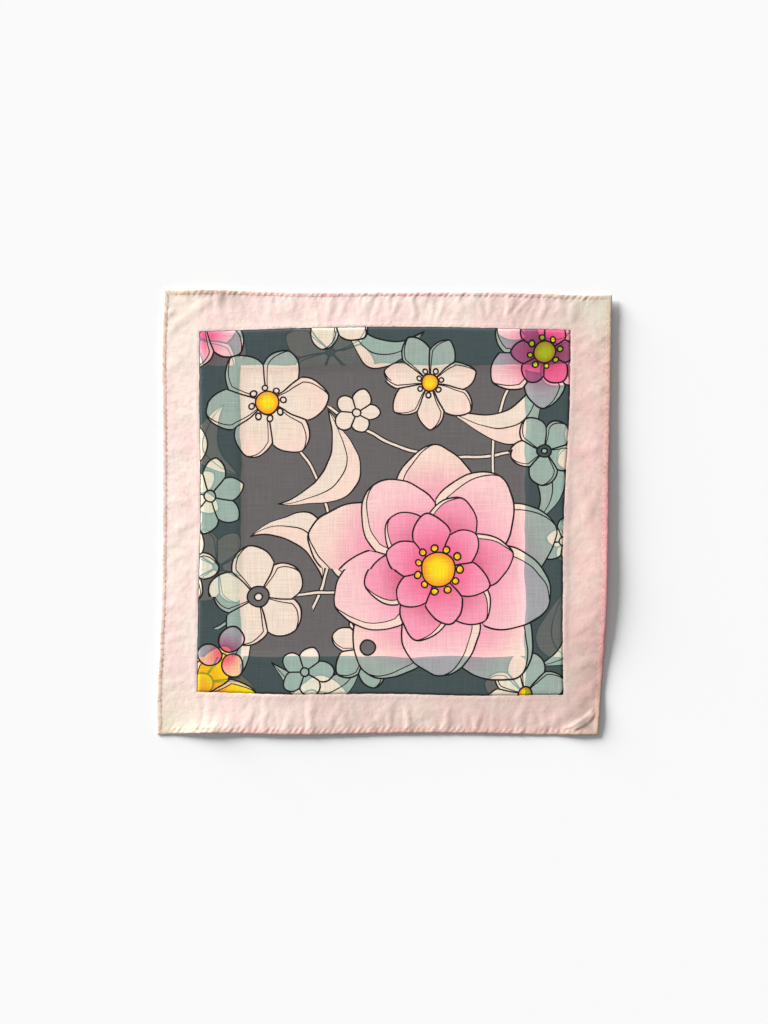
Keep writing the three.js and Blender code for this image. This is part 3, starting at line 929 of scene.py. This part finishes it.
def printed(name, beyond):
    """The print as a pattern: all that shows in the window, or what lies beyond the fold."""
    tree, pattern_in, pattern_out = new_pattern(
        name, [("Place", VECTOR), ("Speck", NUMBER)], [("Colour", COLOUR)]
    )
    place, speck = pattern_in.outputs["Place"], pattern_in.outputs["Speck"]
    colour = ground_grey
    for x, y, radius, facing, spread in stems:
        toward = (math.cos(math.radians(facing)), math.sin(math.radians(facing)), 0)
        colour = place_pattern(
            tree, stem, Under=colour, Place=place, Middle=(x, y, 0), Radius=radius, Toward=toward,
            Ahead=radius * math.cos(math.radians(spread)),
        ).outputs[0]
    for x, y, turn, length, width, upper, lower in leaves:
        if reaches(x, y, length / 2, beyond):
            right, up = math.cos(math.radians(turn)), math.sin(math.radians(turn))
            colour = place_pattern(
                tree, leaf, Under=colour, Place=place, Middle=(x, y, 0), Along=(right, up, 0),
                Across=(-up, right, 0), Bow=-1.6 / length, Sway=0.1 * length,
                Upper=upper, Lower=lower, **lens(length / 2, width / 2, 0.6),
            ).outputs[0]
    for x, y, turn, count, start, tip, width, roundness, heart, rim, near, far, fold in petals:
        if reaches(x, y, tip, beyond):
            colour = place_pattern(
                tree, bloom, Under=colour, Place=place, Speck=speck, Middle=(x, y, 0),
                Count=count, Spin=turn * count / 360, Reach=(tip + start) / 2, Heart=heart, Rim=rim,
                From=near, To=far, Turned=2 * fold / width,
                **lens((tip - start) / 2, width / 2, roundness),
            ).outputs[0]
    for x, y, radius, heart, rim in hearts:
        if reaches(x, y, radius, beyond):
            colour = place_pattern(
                tree, disc, Under=colour, Place=place, Middle=(x, y, 0), Radius=radius, Heart=heart,
                Rim=rim,
            ).outputs[0]
    tree.links.new(colour, pattern_out.inputs["Colour"])
    return tree


printed_voile, tree, shader, _, place = new_cloth("printed_voile", 0.85, 0.08)
# Every printed line wavers a little: how far in all, and how long its waves are.
waver_width = 5.0
waver_length = 26
waver = tree.nodes.new("ShaderNodeTexNoise")
tree.links.new(place, waver.inputs["Vector"])
waver.inputs["Scale"].default_value = 1 / waver_length
waver.inputs["Detail"].default_value = 1.0
drawn = vector_calc(
    tree, "MULTIPLY_ADD", waver.outputs["Color"], (waver_width, waver_width, 0), place
)
drawn = vector_calc(tree, "ADD", drawn, (-waver_width / 2, -waver_width / 2, 0))
speck = calc(tree, "SUBTRACT", cloudy(tree, place, 0.9, 1.0), 0.5)
face_print = place_pattern(tree, printed("flower print", False), Place=drawn, Speck=speck).outputs[0]

# The folded margin lies face down under the panel, so its print shows through mirrored.
split = tree.nodes.new("ShaderNodeSeparateXYZ")
tree.links.new(drawn, split.inputs[0])
folded, doubled = [], []
for axis, low, high in (("X", 0, 1), ("Y", 2, 3)):
    value = split.outputs[axis]
    past_low = calc(tree, "LESS_THAN", value, raw_edges[low])
    past_high = calc(tree, "GREATER_THAN", value, raw_edges[high])
    step = tree.nodes.new("ShaderNodeMix")
    feed(tree, step.inputs["Factor"], past_low)
    feed(tree, step.inputs[2], value)
    feed(tree, step.inputs[3], calc(tree, "SUBTRACT", 2 * fold_lines[low], value))
    second = tree.nodes.new("ShaderNodeMix")
    feed(tree, second.inputs["Factor"], past_high)
    feed(tree, second.inputs[2], step.outputs[0])
    feed(tree, second.inputs[3], calc(tree, "SUBTRACT", 2 * fold_lines[high], value))
    folded.append(second.outputs[0])
    doubled.append(calc(tree, "MAXIMUM", past_low, past_high))
mirrored = tree.nodes.new("ShaderNodeCombineXYZ")
feed(tree, mirrored.inputs["X"], folded[0])
feed(tree, mirrored.inputs["Y"], folded[1])
under_print = place_pattern(
    tree, printed("flower print beyond the fold", True), Place=mirrored.outputs[0], Speck=speck
).outputs[0]
# Through the sheer cotton the lower print is weaker and greener, and its light parts let the
# face show at nearly its full strength.
lower_strength = (0.713, 0.705, 0.716)
sheer_veil = (0.278, 0.515, 0.542)
shown_through = vector_calc(tree, "MULTIPLY_ADD", under_print, lower_strength, sheer_veil)
ring = calc(tree, "MAXIMUM", *doubled)
two_layers = vector_calc(tree, "MULTIPLY", face_print, shown_through)
colour = blend(tree, ring, face_print, two_layers)

voile_weave = place_pattern(tree, weave, Place=place, Thread=0.5)
colour = slub_shaded(tree, colour, voile_weave.outputs["Slub"], 0.86, 1.08)
tree.links.new(colour, shader.inputs["Base Color"])
bump(tree, shader, voile_weave.outputs["Height"], 0.025)

print_panel = finished(panel_mesh, "print_panel_cloth", printed_voile)
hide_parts("print_panel")

# Hem stitching.
# One row of running stitches in salmon cotton thread, all round the band, through both layers
# of the turned hem. Each stitch sinks into the cloth at its ends.
stitch_length = 2.1
stitch_thickness = 0.3
stitch_line = hem_width - 0.2
# How far a stitch strays from its line, how much it slants, and the share by which its length
# varies.
stitch_stray = 0.4
stitch_slant = 0.4
length_stray = 0.25
stitch_mesh = bmesh.new()
for side in range(4):
    count = round((side_lengths[side] - 2 * hem_width) / stitch_pitch)
    for number in range(count):
        centre_at = hem_width + (number + 0.5) * (side_lengths[side] - 2 * hem_width) / count
        wander = noise.noise(Vector((number * 0.9, side * 11.0, 1.3)))
        inward = stitch_line + stitch_stray * wander
        stray = length_stray * noise.noise(Vector((number * 1.7, side * 4.0, 6.1)))
        length = stitch_length * (1 + stray)
        ends = []
        for offset in (-length / 2, length / 2):
            share = (centre_at + offset) / side_lengths[side]
            ends.append(band_top(side, share, inward + stitch_slant * offset * (0.6 + wander)))
        middle = band_top(side, centre_at / side_lengths[side], inward)
        run = ends[1] - ends[0]
        turn = Matrix.Rotation(math.atan2(run.y, run.x), 4, "Z")
        tilt = Matrix.Rotation(-math.asin(max(-0.5, min(0.5, run.z / run.length))), 4, "Y")
        height = max(middle.z, (ends[0].z + ends[1].z) / 2)
        spot = Matrix.Translation(Vector((middle.x, middle.y, height)) * MM)
        bmesh.ops.create_uvsphere(
            stitch_mesh, u_segments=6, v_segments=6, radius=1,
            matrix=spot @ turn @ tilt @ Matrix.Rotation(math.pi / 2, 4, "Y") @ Matrix.Diagonal(
                (stitch_thickness / 2 * MM, stitch_thickness / 2 * MM, length / 2 * MM, 1)
            ),
        )
for stitch_face in stitch_mesh.faces:
    stitch_face.smooth = True

salmon_thread, tree, shader, _, place = new_cloth("salmon_thread", 0.75, 0.1)
thread_pink = linear(236, 178, 168)
thread_pale = linear(240, 200, 186)
thread_sandy = linear(218, 190, 158)
thread_tone = cloudy(tree, place, 18.0, 2.0)
colour = blend(tree, fade(tree, thread_tone, 0.35, 0.65), thread_pink, thread_pale)
at_corners = fade(tree, vector_calc(tree, "LENGTH", place), 178.0, 214.0)
colour = blend(tree, at_corners, colour, thread_sandy)
tree.links.new(colour, shader.inputs["Base Color"])
ply = tree.nodes.new("ShaderNodeTexWave")
ply.wave_type = "BANDS"
ply.bands_direction = "DIAGONAL"
ply.inputs["Scale"].default_value = 1.6
tree.links.new(place, ply.inputs["Vector"])
bump(tree, shader, ply.outputs["Fac"], 0.05)

hem_stitches = finished(stitch_mesh, "hem_stitches", salmon_thread)

# Photograph's setting.
# A pale matt table top under the square, a broad soft light from the upper left, and an even
# light from all round, with the camera straight above.
table_reach = 3.0
table_drop = 0.0002
table_mesh = bmesh.new()
bmesh.ops.create_grid(table_mesh, x_segments=2, y_segments=2, size=table_reach)
for table_vert in table_mesh.verts:
    table_vert.co.z = -table_drop
table_data = bpy.data.meshes.new("table_top")
table_mesh.to_mesh(table_data)
table_mesh.free()
table_top = put_in("table_top", table_data)
pale_table = bpy.data.materials.new("pale_table")
pale_table.use_nodes = True
table_shader = pale_table.node_tree.nodes["Principled BSDF"]
table_shader.inputs["Base Color"].default_value = (0.9, 0.902, 0.904, 1)
table_shader.inputs["Roughness"].default_value = 0.9
table_shader.inputs["Specular IOR Level"].default_value = 0.1
table_data.materials.append(pale_table)

key_data = bpy.data.lights.new("key_lamp", "SUN")
key_data.angle = 0.42
key_data.energy = 10.2
key_lamp = put_in("key_lamp", key_data)
key_lamp.location = (-2.3, 1.8, 0.7)
key_lamp.rotation_euler = (-key_lamp.location).to_track_quat("-Z", "Y").to_euler()

room = bpy.data.worlds.new("soft_room")
room.use_nodes = True
room.node_tree.nodes["Background"].inputs["Color"].default_value = (1, 0.995, 0.985, 1)
room.node_tree.nodes["Background"].inputs["Strength"].default_value = 0.3
bpy.context.scene.world = room
bpy.context.scene.view_settings.view_transform = "Standard"

# The photograph is 768 by 1024 pixels, and one pixel is 0.7374 mm on the table.
pixel = 0.7374 * MM
picture_height = 1024 * pixel
camera_data = bpy.data.cameras.new("camera")
camera_data.sensor_width = 36.0
camera_data.lens = 85.0
camera = put_in("camera", camera_data)
camera.location = (0, 0, picture_height * camera_data.lens / camera_data.sensor_width)
camera_data.clip_end = 20.0
bpy.context.scene.camera = camera
